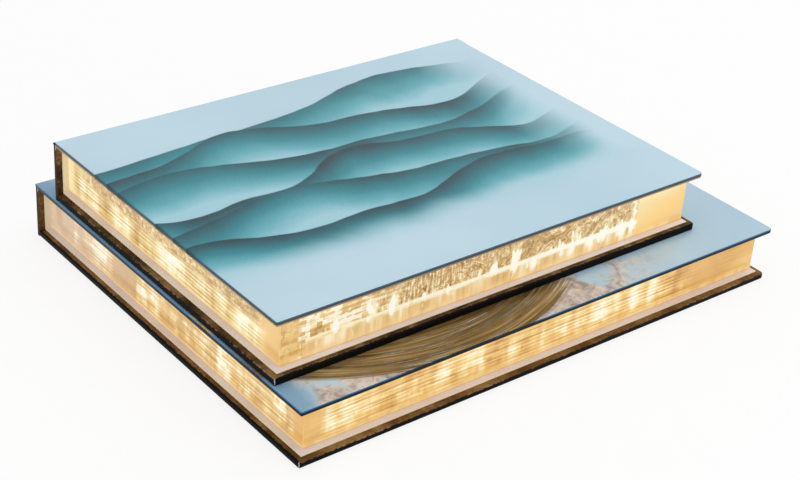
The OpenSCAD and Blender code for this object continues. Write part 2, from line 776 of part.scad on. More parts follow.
module upper_wires() color("#b03028") upper() wires();
module upper_front_board() color("#bcd5e2") upper() front_board();
module upper_front_endpaper() color("#e6cfc8") upper() front_endpaper();
module upper_joint_cloth() color("#17130f") upper() joint_cloth();

lower_back_board();
lower_spine_board();
lower_back_endpaper();
lower_spine_lining();
lower_base_plate();
lower_fore_pages();
lower_tail_pages();
lower_head_pages();
lower_spine_pages();
lower_crinkle_film();
lower_top_leaf();
lower_posts();
lower_top_screws();
lower_base_screws();
lower_led_rails();
lower_led_strips();
lower_led_chips();
lower_battery_tray();
lower_battery();
lower_control_board();
lower_standoffs();
lower_board_parts();
lower_charge_socket();
lower_switch_body();
lower_switch_rocker();
lower_wires();
lower_front_board();
lower_front_endpaper();
lower_joint_cloth();
upper_back_board();
upper_spine_board();
upper_back_endpaper();
upper_spine_lining();
upper_base_plate();
upper_fore_pages();
upper_tail_pages();
upper_head_pages();
upper_spine_pages();
upper_crinkle_film();
upper_top_leaf();
upper_posts();
upper_top_screws();
upper_base_screws();
upper_led_rails();
upper_led_strips();
upper_led_chips();
upper_battery_tray();
upper_battery();
upper_control_board();
upper_standoffs();
upper_board_parts();
upper_charge_socket();
upper_switch_body();
upper_switch_rocker();
upper_wires();
upper_front_board();
upper_front_endpaper();
upper_joint_cloth();
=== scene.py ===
import math

import bmesh
import bpy
from mathutils import Matrix, Vector


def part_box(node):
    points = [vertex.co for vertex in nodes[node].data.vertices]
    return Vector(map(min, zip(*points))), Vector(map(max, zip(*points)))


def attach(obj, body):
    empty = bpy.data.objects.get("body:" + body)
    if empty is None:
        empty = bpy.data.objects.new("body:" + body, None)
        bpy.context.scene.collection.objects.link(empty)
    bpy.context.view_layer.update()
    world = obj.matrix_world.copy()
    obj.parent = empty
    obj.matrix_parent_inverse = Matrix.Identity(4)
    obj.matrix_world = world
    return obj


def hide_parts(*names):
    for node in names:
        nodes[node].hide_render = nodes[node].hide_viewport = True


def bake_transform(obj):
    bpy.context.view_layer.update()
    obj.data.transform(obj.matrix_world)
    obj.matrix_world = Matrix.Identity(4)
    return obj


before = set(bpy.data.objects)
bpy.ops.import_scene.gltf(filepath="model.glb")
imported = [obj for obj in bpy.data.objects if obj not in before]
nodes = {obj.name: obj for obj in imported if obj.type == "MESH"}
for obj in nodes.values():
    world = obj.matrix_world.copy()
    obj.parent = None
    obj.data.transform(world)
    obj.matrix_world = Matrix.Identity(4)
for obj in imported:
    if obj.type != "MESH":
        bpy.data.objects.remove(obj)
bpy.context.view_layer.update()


# ---- the studio -----------------------------------------------------------------------------------
# A white floor that runs on into a white room, two wide soft lamps, and the camera at the place
# from which the photograph was taken. Signal and Paint build every shader in this file.
MM = 0.001


class Signal:
    """One output of a shader node. Sums of signals add their own Math or Vector Math nodes."""

    def __init__(self, paint, socket):
        self.paint = paint
        self.socket = socket

    def join(self, operation, first, second):
        kind = "VectorMath" if self.socket.type == "VECTOR" else "Math"
        return self.paint.add(kind, {"operation": operation}, {0: first, 1: second})

    def __add__(self, other):
        return self.join("ADD", self, other)

    def __radd__(self, other):
        return self.join("ADD", other, self)

    def __sub__(self, other):
        return self.join("SUBTRACT", self, other)

    def __rsub__(self, other):
        return self.join("SUBTRACT", other, self)

    def __mul__(self, other):
        return self.join("MULTIPLY", self, other)

    def __rmul__(self, other):
        return self.join("MULTIPLY", other, self)

    def __truediv__(self, other):
        return self.join("DIVIDE", self, other)

    def __pow__(self, other):
        return self.join("POWER", self, other)

    def __abs__(self):
        return self.join("ABSOLUTE", self, 0)

    def min(self, other):
        return self.join("MINIMUM", self, other)

    def max(self, other):
        return self.join("MAXIMUM", self, other)

    def above(self, other):
        return self.join("GREATER_THAN", self, other)

    def sine(self):
        return self.join("SINE", self, 0)

    def floor(self):
        return self.join("FLOOR", self, 0)

    def rise(self, start, end):
        """0 before start, 1 after end, and a smooth step between them."""
        sockets = {"Value": self, "From Min": start, "From Max": end}
        return self.paint.add("MapRange", {"interpolation_type": "SMOOTHSTEP"}, sockets)

    def near(self, middle, reach):
        """1 at middle, falling smoothly to 0 at reach from it."""
        return 1 - abs(self - middle).rise(0, reach)


class Paint:
    """The nodes of one material, or of the world."""

    def __init__(self, owner):
        owner.use_nodes = True
        self.owner = owner
        self.tree = owner.node_tree
        self.tree.nodes.clear()

    def add(self, kind, settings=None, sockets=None, output=0):
        """Makes one node: its settings first, then the values or links of its sockets."""
        node = self.tree.nodes.new("ShaderNode" + kind)
        for name, value in (settings or {}).items():
            if name == "stops":
                ramp = node.color_ramp.elements
                while len(ramp) < len(value):
                    ramp.new(0.5)
                for stop, (place, colour) in zip(ramp, value):
                    stop.position, stop.color = place, colour
            else:
                setattr(node, name, value)
        for name, value in (sockets or {}).items():
            if isinstance(value, Signal):
                self.tree.links.new(value.socket, node.inputs[name])
            else:
                node.inputs[name].default_value = value
        return Signal(self, node.outputs[output]) if node.outputs else node

    def place(self):
        """x, y and z of the point in millimetres, at rest, and the position in metres."""
        position = self.add("TexCoord", output=3)
        return [self.part(position, axis) * 1000 for axis in range(3)], position

    def part(self, vector, axis):
        return self.add("SeparateXYZ", sockets={0: vector}, output=axis)

    def join(self, x=0, y=0, z=0):
        return self.add("CombineXYZ", sockets={0: x, 1: y, 2: z})

    def noise(self, vector, scale, detail=2, rough=0.5, bend=0):
        sockets = {"Vector": vector, "Scale": scale, "Detail": detail, "Roughness": rough,
                   "Distortion": bend}
        return self.add("TexNoise", None, sockets)

    def cells(self, vector, scale, output=0, **settings):
        return self.add("TexVoronoi", settings, {"Vector": vector, "Scale": scale}, output)

    def mix(self, factor, first, second, blend="MIX"):
        """first where factor is 0 and second where it is 1, as colours."""
        settings = {"data_type": "RGBA", "blend_type": blend}
        return self.add("Mix", settings, {0: factor, 6: first, 7: second}, 2)

    def ramp(self, factor, *stops):
        return self.add("ValToRGB", {"stops": stops}, {0: factor})

    def bump(self, height, depth):
        """A normal from height, 0 to 1, for a relief that is depth millimetres deep."""
        return self.add("Bump", None, {"Height": height, "Distance": depth * MM, "Strength": 1})

    def surface(self, **sockets):
        """Ends the material in a Principled BSDF with these sockets, _ standing for a space."""
        named = {name.replace("_", " "): value for name, value in sockets.items()}
        shader = self.add("BsdfPrincipled", None, named)
        self.add("OutputMaterial", None, {"Surface": shader})
        return self.owner


def tint(red, green, blue):
    """A colour as a screen shows it, 0 to 255, turned into the shader's linear values."""
    linear = [c / 255 / 12.92 if c < 11 else ((c / 255 + 0.055) / 1.055) ** 2.4
              for c in (red, green, blue)]
    return (*linear, 1)


def new_paint(name):
    return Paint(bpy.data.materials.new(name))


def seen_directly(paint):
    """1 for rays from the camera, and for those that a mirror or glass sends on."""
    rays = [paint.add("LightPath", output=name)
            for name in ("Is Camera Ray", "Is Glossy Ray", "Is Transmission Ray")]
    return rays[0].max(rays[1]).max(rays[2])


# How bright the room is to the object; the camera and mirrors see it as white
ROOM_LIGHT = 0.62
world = bpy.data.worlds.new("white room")
bpy.context.scene.world = world
paint = Paint(world)
strength = ROOM_LIGHT + (1 - ROOM_LIGHT) * seen_directly(paint)
room = paint.add("Background", None, {"Color": (1, 1, 1, 1), "Strength": strength})
paint.add("OutputWorld", None, {"Surface": room})

# The floor's side in metres, its drop below the object in millimetres, and how far it is lit white
FLOOR_SIDE = 9.0
FLOOR_DROP = 0.4
FLOOR_GLOW = 0.84
FLOOR_WHITE = ((0, tint(246, 246, 246)), (1, tint(252, 252, 252)))
paint = new_paint("white floor")
grain = paint.noise(paint.place()[1], 40, 3)
matt = paint.add("BsdfDiffuse", None, {"Color": paint.ramp(grain, *FLOOR_WHITE)})
glow = paint.add("Emission", None, {"Color": (1, 1, 1, 1), "Strength": 1.0})
blend = paint.add("MixShader", None, {0: seen_directly(paint) * FLOOR_GLOW, 1: matt, 2: glow})
paint.add("OutputMaterial", None, {"Surface": blend})
mesh = bpy.data.meshes.new("floor")
half = FLOOR_SIDE / 2
mesh.from_pydata([(-half, -half, 0), (half, -half, 0), (half, half, 0), (-half, half, 0)], [],
                 [(0, 1, 2, 3)])
floor = bpy.data.objects.new("floor", mesh)
floor.location.z = -FLOOR_DROP * MM
mesh.materials.append(paint.owner)
bpy.context.scene.collection.objects.link(floor)


def lamp(name, place, size, watts):
    """A square soft lamp with its middle at place, turned to the object. All in metres."""
    light = bpy.data.lights.new(name, "AREA")
    light.size = size
    light.energy = watts
    holder = bpy.data.objects.new(name, light)
    holder.location = place
    holder.rotation_euler = (-Vector(place)).to_track_quat("-Z", "Y").to_euler()
    bpy.context.scene.collection.objects.link(holder)


lamp("lamp overhead", place=(0.3, 0.6, 2.0), size=1.8, watts=17)
lamp("lamp at the side", place=(0.1, -2.1, 0.9), size=3.0, watts=9)

# The camera's bearing, height and tilt in degrees, the point it looks at and its distance from it
CAMERA_ANGLES = (50.669, 29.308, 3.856)
CAMERA_TARGET = Vector((0.787, -20.269, 29.996)) * MM
CAMERA_DISTANCE = 1024.656 * MM
SENSOR_WIDTH, CAMERA_LENS = 36, 76.728
CAMERA_SHIFT = (0.02671, -0.02169)
NEAREST, FARTHEST = 0.05, 50
azimuth, elevation, roll = (math.radians(angle) for angle in CAMERA_ANGLES)
back = Vector((math.sin(azimuth) * math.cos(elevation), -math.cos(azimuth) * math.cos(elevation),
               math.sin(elevation)))
level = Vector((math.cos(azimuth), math.sin(azimuth), 0))
above = back.cross(level)
right = level * math.cos(roll) + above * math.sin(roll)
up = above * math.cos(roll) - level * math.sin(roll)
camera = bpy.data.objects.new("camera", bpy.data.cameras.new("camera"))
camera.data.sensor_width = SENSOR_WIDTH
camera.data.lens = CAMERA_LENS
camera.data.shift_x, camera.data.shift_y = CAMERA_SHIFT
camera.data.clip_start, camera.data.clip_end = NEAREST, FARTHEST
camera.matrix_world = (Matrix.Translation(CAMERA_TARGET + back * CAMERA_DISTANCE)
                       @ Matrix((right, up, back)).transposed().to_4x4())
bpy.context.scene.collection.objects.link(camera)
bpy.context.scene.camera = camera
bpy.context.scene.view_settings.view_transform = "Standard"


# ---- back boards ------------------------------------------------------------------------------
# Greyboard covered in near-black coated bookcloth. The cloth is turned in over the edges, where it
# shows dark brown with the pages' warm glow painted into it as lighter brown, and a thin pale line
# runs down its fold at each fore-edge corner.
VOLUMES = ("lower", "upper")
BOARD_EDGE_R = 0.9
TAIL_CORNER_R, HEAD_CORNER_R = 1.0, 2.4
# A corner at the spine is nearly square, and no corner is drawn in to less than the least radius
SPINE_CORNER_R, LEAST_R = 0.2, 0.05
# How far the flat face runs in from a rounded edge, to keep its shading level
HOLDING_RIM = 0.6
SCREW_HEAD_R, SCREW_HEAD_H, SCREW_HOLE_R = 2.9, 1.7, 1.6


def outline(low, high, radii, inset, steps=6):
    """The points round a rectangle with round corners, drawn in by inset. The radii are those of
    the corners at the tail and spine, tail and fore-edge, head and fore-edge, head and spine."""
    corners = ((low.x, low.y, 1, 1), (high.x, low.y, -1, 1), (high.x, high.y, -1, -1),
               (low.x, high.y, 1, -1))
    points = []
    for quarter, ((x, y, to_x, to_y), radius) in enumerate(zip(corners, radii)):
        r = max(radius - inset, LEAST_R * MM)
        for step in range(steps + 1):
            angle = math.pi * (1 + quarter / 2 + step / steps / 2)
            points.append((x + to_x * (inset + r) + r * math.cos(angle),
                           y + to_y * (inset + r) + r * math.sin(angle)))
    return points


def round_edge(low_z, high_z, r_low, r_high, steps=4):
    """(inset, z) of the loops up a plate's side, with its lower and upper edge rounded."""
    turns = [math.pi / 2 * step / steps for step in range(steps + 1)]
    hold = HOLDING_RIM * MM
    return ([(r_low + hold, low_z)]
            + [(r_low * (1 - math.sin(t)), low_z + r_low * (1 - math.cos(t))) for t in turns]
            + [(r_high * (1 - math.cos(t)), high_z - r_high * (1 - math.sin(t))) for t in turns]
            + [(r_high + hold, high_z)])


def mesh_piece(shape, name):
    """Turns a bmesh into an object."""
    bmesh.ops.recalc_face_normals(shape, faces=shape.faces)
    mesh = bpy.data.meshes.new(name)
    shape.to_mesh(mesh)
    shape.free()
    piece = bpy.data.objects.new(name, mesh)
    bpy.context.scene.collection.objects.link(piece)
    return piece


def finish_piece(shape, name, material, body, replaced=(), smooth=30):
    """Turns a bmesh into a piece that rides on its body and stands for its CAD nodes. Its faces
    are shaded smoothly over edges that turn by less than smooth degrees."""
    piece = mesh_piece(shape, name)
    piece.data.materials.append(material)
    piece.data.shade_smooth()
    piece.data.set_sharp_from_angle(angle=math.radians(smooth))
    if replaced:
        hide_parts(*replaced)
    if body:
        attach(piece, body)
    return piece


def plate(low, high, radii, profile):
    """A plate whose outline is lofted through the (inset, z) loops of its profile."""
    shape = bmesh.new()
    loops = [[shape.verts.new((x, y, z)) for x, y in outline(low, high, radii, inset)]
             for inset, z in profile]
    count = len(loops[0])
    for lower_loop, upper_loop in zip(loops, loops[1:]):
        for i in range(count):
            j = (i + 1) % count
            shape.faces.new((lower_loop[i], lower_loop[j], upper_loop[j], upper_loop[i]))
    shape.faces.new(loops[0][::-1])
    shape.faces.new(loops[-1])
    return shape


def carve(shape, *cutters):
    """shape less the cutters, which are bmeshes too."""
    body = mesh_piece(shape, "carved")
    tools = [mesh_piece(cutter, "cutter") for cutter in cutters]
    for tool in tools:
        cut = body.modifiers.new("cut", "BOOLEAN")
        cut.operation, cut.solver, cut.object = "DIFFERENCE", "EXACT", tool
    bpy.context.view_layer.update()
    result = bmesh.new()
    result.from_object(body, bpy.context.evaluated_depsgraph_get())
    for piece in (body, *tools):
        bpy.data.objects.remove(piece)
    return result


def turned(centre, profile, sides=32):
    """A solid of revolution about the upright line through centre: (radius, height) pairs."""
    shape = bmesh.new()
    rings = []
    for radius, height in profile:
        rings.append([shape.verts.new((centre.x + radius * math.cos(2 * math.pi * k / sides),
                                       centre.y + radius * math.sin(2 * math.pi * k / sides),
                                       centre.z + height)) for k in range(sides)])
    for first, second in zip(rings, rings[1:]):
        for k in range(sides):
            n = (k + 1) % sides
            shape.faces.new((first[k], first[n], second[n], second[k]))
    shape.faces.new(rings[0][::-1])
    shape.faces.new(rings[-1])
    return shape


def screw_holes(volume, board_low, board_high):
    """Cutters for the four countersunk screws in a back board."""
    low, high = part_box(volume + "_base_screws")
    profile = [(SCREW_HEAD_R, -1), (SCREW_HEAD_R, 0.25), (SCREW_HOLE_R, SCREW_HEAD_H + 0.1),
               (SCREW_HOLE_R, (board_high.z - board_low.z) / MM + 1)]
    profile = [(radius * MM, height * MM) for radius, height in profile]
    inset = (SCREW_HEAD_R - 0.1) * MM
    return [turned(Vector((x, y, board_low.z)), profile)
            for x in (low.x + inset, high.x - inset) for y in (low.y + inset, high.y - inset)]


# How much further out than elsewhere the brown and its painted glow start at the fore-edge and at the tail
BROWN_OUT = {"lower": (1.2, 0.2), "upper": (0.1, 1.0)}
# The cloth's black coated face, its turn-in on each volume: dark brown with the pages' warm glow painted
# in, its worn places, and the pale line at its corner folds
COATED = ((0.3, tint(6, 6, 6)), (0.75, tint(17, 14, 12)))
TURN_IN_BROWN_AND_GLOW = {"lower": ((0.38, tint(90, 62, 30)), (0.5, tint(122, 90, 50)), (0.62, tint(150, 119, 76))),
             "upper": ((0.38, tint(46, 30, 14)), (0.52, tint(92, 68, 38)), (0.64, tint(138, 110, 70)))}
RUBBED, PALE_CORNER_LINE = tint(176, 142, 108), tint(214, 212, 212)


def bookcloth(name, volume, low, high, turn_in_glow, sheen):
    """Coated cloth for a board between low and high. turn_in_glow(side, depth, normal) tells where the
    turn-in shows brown with the pages' warm glow painted on, side and depth being the distances in from
    the board's edges."""
    paint = new_paint(name)
    (x, y, z), position = paint.place()
    normal = [paint.part(paint.add("TexCoord", output=1), axis) for axis in range(3)]
    weave = paint.noise(position, 2600, 2)
    blotch = paint.noise(position, 55, 4, 0.6)
    ragged = paint.noise(position, 420, 4, 0.65)
    fore_out, tail_out = BROWN_OUT[volume]
    side = (x - low.x / MM).min(high.x / MM - x + fore_out)
    side = side.min((y - low.y / MM + tail_out).min(high.y / MM - y))
    # painted glow: brown where the pages' warm light falls on the turn-in, fading to black over the
    # rounded edge
    inside = turn_in_glow(side + (ragged - 0.5) * 0.8, high.z / MM - z, normal)
    black = paint.ramp(blotch, *COATED)
    brown = paint.ramp(blotch * 0.7 + ragged * 0.3, *TURN_IN_BROWN_AND_GLOW[volume])
    cloth = paint.mix(inside, black, brown)
    rubbed = inside * (1 - inside) * 4 * (ragged * 0.6 + blotch * 0.5).rise(0.52, 0.68)
    cloth = paint.mix(rubbed * 0.8, cloth, RUBBED)
    # a thin pale line down the fold at each fore-edge corner
    to_fore, to_tail = x - high.x / MM, y - low.y / MM
    crooked = (paint.noise(position, 350, 1) - 0.5) * 1.2
    crease = (1 - abs(to_fore + to_tail + crooked).rise(0.1, 0.5)) * (to_tail - to_fore).near(0, 3.0)
    crease = crease * (high.z / MM - z).near(1.6, 2.6).rise(0.1, 0.5)
    cloth = paint.mix(crease, cloth, PALE_CORNER_LINE)
    relief = weave * 0.4 + blotch * 0.4 + crease * 0.3 - inside * 0.1
    return paint.surface(Base_Color=cloth, Roughness=0.46 + blotch * 0.18, Normal=paint.bump(relief, 0.08),
                         Specular_IOR_Level=sheen)


def board_turn_in_glow(side, depth, normal):
    """The cloth turned in over a back board: its top face within the black edge, with the pages' glow
    painted on.
    """
    return side.rise(1.0, 1.6) * (1 - depth.rise(0.3, 1.1))


for volume in VOLUMES:
    name = volume + "_back_board"
    low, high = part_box(name)
    profile = round_edge(low.z, high.z, BOARD_EDGE_R * MM, BOARD_EDGE_R * MM)
    corners = [r * MM for r in (SPINE_CORNER_R, TAIL_CORNER_R, HEAD_CORNER_R, SPINE_CORNER_R)]
    shape = carve(plate(low, high, corners, profile), *screw_holes(volume, low, high))
    finish_piece(shape, volume + "_covered_back_board",
                 bookcloth(name + " cloth", volume, low, high, board_turn_in_glow, 0.06), volume + "_case",
                 [name])


# ---- spine boards -------------------------------------------------------------------------------
# The same cloth over a narrow board, turned in at the ends. On its face towards the pages their warm
# glow is painted on as brown, and the switch and the charging socket are let into it.
LET_IN_GAP = 0.2
# The cloth over the spine's top, up to the cover's edge: (distance in, depth below the cover)
NUB = {"lower": ((0, 0.9), (0.1, 0.62), (0.35, 0.42), (0.55, 0.35), (0.6, 0)),
       "upper": ((0, 1.75), (0.12, 1.35), (0.4, 1.08), (0.8, 1.0), (2.1, 1.0), (2.2, 0.7), (2.25, 0))}
# How far below the joint's cloth the spine board stops, as a part of that cloth's fall at its edge
UNDER_NUB = 0.6
# A point this near to a face lies on it
ON_FACE = MM / 10


def block(low, high):
    """A closed box with flat sides."""
    shape = bmesh.new()
    bmesh.ops.create_cube(shape, size=1)
    for vert in shape.verts:
        vert.co = Vector([(a + b) / 2 + c * (b - a) for a, b, c in zip(low, high, vert.co)])
    return shape


def bevelled(shape, chosen, radius, segments=4):
    """Rounds the edges whose two ends are both chosen."""
    rim = [edge for edge in shape.edges if all(chosen(vert.co) for vert in edge.verts)]
    bmesh.ops.bevel(shape, geom=rim, offset=radius * MM, segments=segments, affect="EDGES",
                    clamp_overlap=True)
    return shape


def spine_turn_in_glow(side, depth, normal):
    """The cloth turned in at the spine's ends: the face towards the pages, where their warm glow is
    painted on.
    """
    return normal[0].rise(0.6, 0.9) * 0.85


for volume in VOLUMES:
    name = volume + "_spine_board"
    low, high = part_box(name)
    high.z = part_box(volume + "_joint_cloth")[0].z - NUB[volume][0][1] * MM * UNDER_NUB
    shape = bevelled(block(low, high), lambda co: co.x < low.x + ON_FACE, BOARD_EDGE_R)
    cutters = []
    for let_in in ("_switch_body", "_charge_socket"):
        part_low, part_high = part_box(volume + let_in)
        gap = Vector((0, LET_IN_GAP, LET_IN_GAP)) * MM
        cutters.append(block(part_low - gap - Vector((MM, 0, 0)), part_high + gap))
    finish_piece(carve(shape, *cutters), volume + "_covered_spine_board",
                 bookcloth(name + " cloth", volume, low, high, spine_turn_in_glow, 0.22), volume + "_case",
                 [name])


# ---- endpapers and linings -----------------------------------------------------------------------
# Matt pink paper, pasted over the turned-in cloth on the inner face of both boards and of the
# spine. A thin cream line round each sheet, on its cut edge and just inside it, is a painted highlight.
PINK = ((0.3, tint(231, 218, 222)), (0.7, tint(244, 235, 238)))
EDGE_HIGHLIGHT = tint(250, 240, 212)


def paper(name, low, high):
    """Pink paper cut to the outline between low and high."""
    paint = new_paint(name)
    (x, y, z), position = paint.place()
    fibre = paint.noise(position, 900, 4, 0.6)
    cloud = paint.noise(position, 30, 3)
    colour = paint.ramp(cloud * 0.6 + fibre * 0.4, *PINK)
    # painted highlight: cream on the sheet's cut edge and on a thin border inside it
    border = (high.x / MM - x).min((y - low.y / MM).min(high.y / MM - y))
    cut = 1 - abs(paint.part(paint.add("TexCoord", output=1), 2)).rise(0.3, 0.7)
    colour = paint.mix(cut.max(1 - border.rise(0.3, 0.8)), colour, EDGE_HIGHLIGHT)
    return paint.surface(Base_Color=colour, Roughness=0.7 + fibre * 0.15, Normal=paint.bump(fibre, 0.03),
                         Specular_IOR_Level=0.3)


def coat(node_name, material):
    """Gives a carried-over CAD node its material."""
    mesh = nodes[node_name].data
    mesh.materials.clear()
    mesh.materials.append(material)


for volume in VOLUMES:
    for node_name in ("_back_endpaper", "_spine_lining", "_front_endpaper"):
        coat(volume + node_name, paper(volume + node_name + " paper", *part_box(volume + node_name)))


# ---- page blocks ---------------------------------------------------------------------------------
# Clear acrylic bars with polished edges on a white base plate, closed by an opal leaf. Warm LEDs
# shine through crinkled film behind the bars, which shows as glows, page lines and sparkles.
GLOW_STRENGTH = 0.78
# The acrylic's own colour is that of its light, times this
UNLIT = (0.3, 0.28, 0.25, 1)
# The width of the solid bar at the head, the rounding of a polished edge, and the pages' pitch
HEAD_BAR_W, POLISHED_EDGE, PAGE_PITCH = 30, 0.35, 2.4
# The height of the band of light on the upper fore-edge, where 0 is the foot of the block
BAND_HEIGHT = 0.365
# The ramp from the dimmest to the hottest light in each volume
LOWER_LIGHT = ((0.1, tint(192, 140, 70)), (0.34, tint(225, 177, 100)), (0.52, tint(239, 198, 122)),
               (0.7, tint(249, 226, 164)), (0.88, tint(255, 251, 230)))
UPPER_LIGHT = ((0.1, tint(180, 138, 78)), (0.34, tint(214, 180, 116)), (0.5, tint(232, 205, 142)),
               (0.66, tint(246, 230, 174)), (0.84, tint(255, 253, 236)))
# The lower tail far from the chips, and near the spine, and the light in a polished corner
PALE_TAIL, DUSK, CORNER_LIGHT = tint(206, 178, 132), tint(210, 182, 154), tint(255, 236, 178)
# The clear ends of the bars, where nothing lies behind them
LOWER_CLEAR = ((0.3, tint(214, 164, 92)), (0.5, tint(228, 182, 108)), (0.7, tint(240, 200, 128)))
UPPER_CLEAR = ((0.1, tint(222, 178, 110)), (0.3, tint(244, 206, 138)), (0.42, tint(255, 211, 136)),
               (0.56, tint(251, 219, 152)), (0.75, tint(254, 233, 180)))
# The foot of the pages, warm at the fore-edge and at the tail pink with the paper's colour painted in as
# it shows in the acrylic, and the opal leaf
FOOT = ((0.35, tint(232, 188, 118)), (0.6, tint(246, 214, 150)))
PINK_FOOT, FOOT_LINE = tint(232, 206, 162), tint(196, 156, 104)
OPAL = ((0.3, tint(246, 226, 190)), (0.7, tint(255, 242, 216)))
# The film: crumpled, with oblongs of light, at its dim start, below the band, and at the tail
FOIL = ((0.27, tint(142, 106, 60)), (0.4, tint(186, 148, 92)), (0.51, tint(214, 178, 120)),
        (0.59, tint(238, 210, 154)), (0.68, tint(254, 246, 214)))
FOLD, FOLD_LIGHT = tint(146, 110, 64), tint(250, 232, 184)
BAND_GLOW, BAND_CORE = tint(252, 238, 192), tint(255, 254, 240)
OBLONGS = ((0.3, tint(186, 144, 84)), (0.46, tint(218, 178, 114)), (0.6, tint(240, 210, 148)),
           (0.67, tint(254, 248, 226)))
DIM_START = ((0.3, tint(206, 162, 94)), (0.5, tint(228, 188, 118)), (0.66, tint(242, 212, 150)))
SOFT_RAYS = ((0.3, tint(212, 170, 106)), (0.5, tint(236, 203, 144)), (0.68, tint(254, 242, 204)))
GLITTER = ((0.34, tint(176, 138, 82)), (0.46, tint(202, 168, 110)), (0.58, tint(224, 196, 140)),
           (0.7, tint(254, 246, 214)))


class Face:
    """Where a point lies on a page block: run from its start along the face, height from 0 to 1,
    and masks for the fore-edge and tail faces."""

    def __init__(self, paint, volume):
        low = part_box(volume + "_base_plate")[0] / MM
        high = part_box(volume + "_top_leaf")[1] / MM
        (x, y, self.z), self.position = paint.place()
        normal = [paint.part(paint.add("TexCoord", output=1), axis) for axis in range(3)]
        self.fore = abs(normal[0]).above(abs(normal[1]))
        self.corner = abs(normal[0]).near(0.7, 0.4) * abs(normal[1]).near(0.7, 0.4)
        self.flat = abs(normal[2]).rise(0.6, 0.9)
        self.tail = (1 - self.fore) * (1 - y.above((low.y + high.y) / 2))
        self.height = (self.z - low.z) / (high.z - low.z)
        self.run = (x - low.x) * (1 - self.fore) + (y - low.y) * self.fore
        self.left = (high.x - x) * (1 - self.fore) + (high.y - y) * self.fore
        self.seed = self.fore * 71 + self.tail * 23
        self.paint = paint

    def noise(self, along, upright, seed=0, detail=2, rough=0.5, bend=0):
        """Noise with so many features for a millimetre along the face and up it."""
        vector = self.paint.join(self.run * along, self.z * upright, self.seed + seed)
        return self.paint.noise(vector, 1.0, detail, rough, bend)

    def bricks(self, width, seed, pitch=PAGE_PITCH):
        """A random value, 0 to 1, for each oblong of a wall whose courses are pitch high."""
        course = (self.z / pitch + self.noise(0.01, 0, seed + 1, 1)).floor()
        vector = self.paint.join(self.run / width, course * 7.3, self.seed + seed)
        return self.paint.part(self.paint.cells(vector, 1.0, output=1), 0)

    def columns(self, width, seed):
        """A random value, 0 to 1, for each of the upright strips about width wide."""
        vector = self.paint.join(self.run / width, 0.5, self.seed + seed)
        return self.paint.part(self.paint.cells(vector, 1.0, output=1), 0)

    def page_lines(self, seed, pitch=PAGE_PITCH):
        """A wave from 0 to 1 for each page up the face. It wavers and fades along the run."""
        wave = ((self.z / pitch + self.noise(0.01, 0, seed, 1)) * (2 * math.pi)).sine() * 0.5 + 0.5
        return wave * self.noise(0.03, 0.35, seed + 1).rise(0.3, 0.6)


def lit_pages(paint, face, stops, middle, reach, contrast):
    """Glows over the chips, crossed by the fine lines and broken by the blocks of the pages. They
    are brightest at middle, a part of the face's height, and fade at reach from it."""
    glows = (face.noise(0.028, 0.006, 1, 2, 0.6) - 0.5) * 2.1 + (face.noise(0.085, 0.02, 2) - 0.5) * 1.2
    bricks = (face.bricks(12, 3) - 0.5) * 0.2 + (face.bricks(4, 5, PAGE_PITCH * 1.5) - 0.5) * 0.1
    threads = (face.noise(0.024, 1.1, 4) - 0.5) * 0.7
    zone = face.height.near(middle, reach)
    lines = face.page_lines(6) * 0.36 - 0.12
    tone = (glows + bricks + threads) * contrast * (0.25 + zone * 0.9)
    tone = tone - lines * (0.4 + zone * 0.6) + zone * 0.14 + 0.4
    # where the glows sit low, as on the upper volume, the whole face is a little brighter
    tone = tone + (0.45 - middle) * 0.8
    return paint.ramp(tone, *stops), tone


